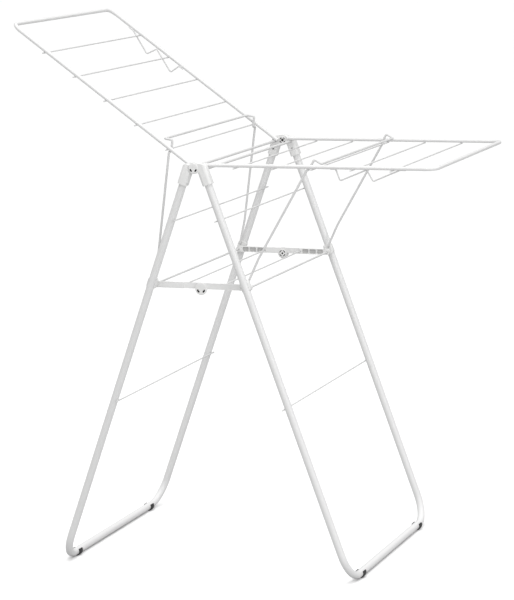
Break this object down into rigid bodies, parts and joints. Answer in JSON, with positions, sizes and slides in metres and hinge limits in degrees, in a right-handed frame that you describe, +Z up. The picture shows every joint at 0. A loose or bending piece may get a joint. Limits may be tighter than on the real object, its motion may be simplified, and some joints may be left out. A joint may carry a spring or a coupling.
{
  "type": "clothes drying rack",
  "caption": "Folding clothes drying rack with two tube leg frames hinged at the top, two hinged wings with crossbars, wire struts and a folding brace.",
  "frame": {"origin": "on the floor, under the middle of the whole outline with the rack open", "axes": "+X from the raised left wing to the level right wing, +Y from the near end to the far end along the hinge line, +Z up"},
  "size_m": [1.0424, 0.645, 1.3023],
  "materials": {
    "white_tube": "white powder coat on steel tube, satin",
    "white_wire": "white powder coat on steel wire, satin",
    "white_plastic": "moulded white plastic, satin",
    "foot_rubber": "black moulded plastic, matte",
    "screw_steel": "dark screw head in a recess"
  },
  "bodies": {
    "left_legs": {"left_leg_frame": "white_tube", "left_leg_wire_upper": "white_wire", "left_leg_wire_lower": "white_wire", "left_foot_near": "foot_rubber", "left_foot_far": "foot_rubber", "left_hinge_bracket_near": "white_plastic", "left_hinge_bracket_far": "white_plastic", "left_bracket_screw_near": "screw_steel", "left_bracket_screw_far": "screw_steel", "left_saddle_near": "white_plastic", "left_saddle_far": "white_plastic", "hub_pin_near": "white_plastic", "hub_pin_far": "white_plastic", "hub_cap_near": "white_plastic", "hub_cap_far": "white_plastic"},
    "right_legs": {"right_leg_frame": "white_tube", "right_leg_wire_upper": "white_wire", "right_leg_wire_lower": "white_wire", "right_foot_near": "foot_rubber", "right_foot_far": "foot_rubber", "right_hinge_bracket_near": "white_plastic", "right_hinge_bracket_far": "white_plastic", "right_bracket_screw_near": "screw_steel", "right_bracket_screw_far": "screw_steel", "right_saddle_near": "white_plastic", "right_saddle_far": "white_plastic"},
    "left_wing": {"left_wing_frame": "white_tube", "left_crossbar_1": "white_wire", "left_crossbar_2": "white_wire", "left_crossbar_3": "white_wire", "left_crossbar_4": "white_wire", "left_crossbar_5": "white_wire", "left_pivot_bar": "white_wire", "left_hanger_wire": "white_wire"},
    "left_strut": {"left_strut": "white_wire"},
    "left_brace": {"left_brace_bar_near": "white_plastic", "left_brace_bar_far": "white_plastic", "left_brace_axle": "white_wire", "left_brace_wire": "white_wire", "knee_cap_near": "white_plastic", "knee_cap_far": "white_plastic"},
    "right_wing": {"right_wing_frame": "white_tube", "right_crossbar_1": "white_wire", "right_crossbar_2": "white_wire", "right_crossbar_3": "white_wire", "right_crossbar_4": "white_wire", "right_crossbar_5": "white_wire", "right_pivot_bar": "white_wire", "right_hanger_wire": "white_wire"},
    "right_strut": {"right_strut": "white_wire"},
    "right_brace": {"right_brace_bar_near": "white_plastic", "right_brace_bar_far": "white_plastic", "right_brace_axle": "white_wire", "right_brace_wire": "white_wire", "knee_hub_near": "white_plastic", "knee_hub_far": "white_plastic"}
  },
  "joints": [
    {"name": "legs_fold", "type": "hinge", "parent": "left_legs", "child": "right_legs", "pos_m": [-0.05515, 0, 0.97], "axis": [0, 1, 0], "range_deg": [0, 39.7]},
    {"name": "left_wing_fold", "type": "hinge", "parent": "left_legs", "child": "left_wing", "pos_m": [-0.07665, 0, 0.967], "axis": [0, 1, 0], "range_deg": [-102, 0], "deforming": ["left_strut"]},
    {"name": "right_wing_fold", "type": "hinge", "parent": "right_legs", "child": "right_wing", "pos_m": [-0.03365, 0, 0.967], "axis": [0, 1, 0], "range_deg": [0, 66.2], "deforming": ["right_strut"]},
    {"name": "left_strut_swing", "type": "hinge", "parent": "left_legs", "child": "left_strut", "pos_m": [-0.17356, 0, 0.70268], "axis": [0, 1, 0], "range_deg": [-165, 0]},
    {"name": "right_strut_swing", "type": "hinge", "parent": "right_legs", "child": "right_strut", "pos_m": [0.06326, 0, 0.70268], "axis": [0, 1, 0], "range_deg": [0, 127]},
    {"name": "left_brace_fold", "type": "hinge", "parent": "left_legs", "child": "left_brace", "pos_m": [-0.17415, 0, 0.68969], "axis": [0, 1, 0], "range_deg": [-65.4, 0]},
    {"name": "right_brace_fold", "type": "hinge", "parent": "right_legs", "child": "right_brace", "pos_m": [0.06386, 0, 0.68969], "axis": [0, 1, 0], "range_deg": [0, 65.4]}
  ],
  "couplings": [
    {"joint": "left_strut_swing", "follows": "left_wing_fold", "ratio": 1.617},
    {"joint": "right_strut_swing", "follows": "right_wing_fold", "ratio": 1.916},
    {"joint": "left_brace_fold", "follows": "legs_fold", "ratio": -1.6437},
    {"joint": "right_brace_fold", "follows": "legs_fold", "ratio": 1.6437}
  ]
}
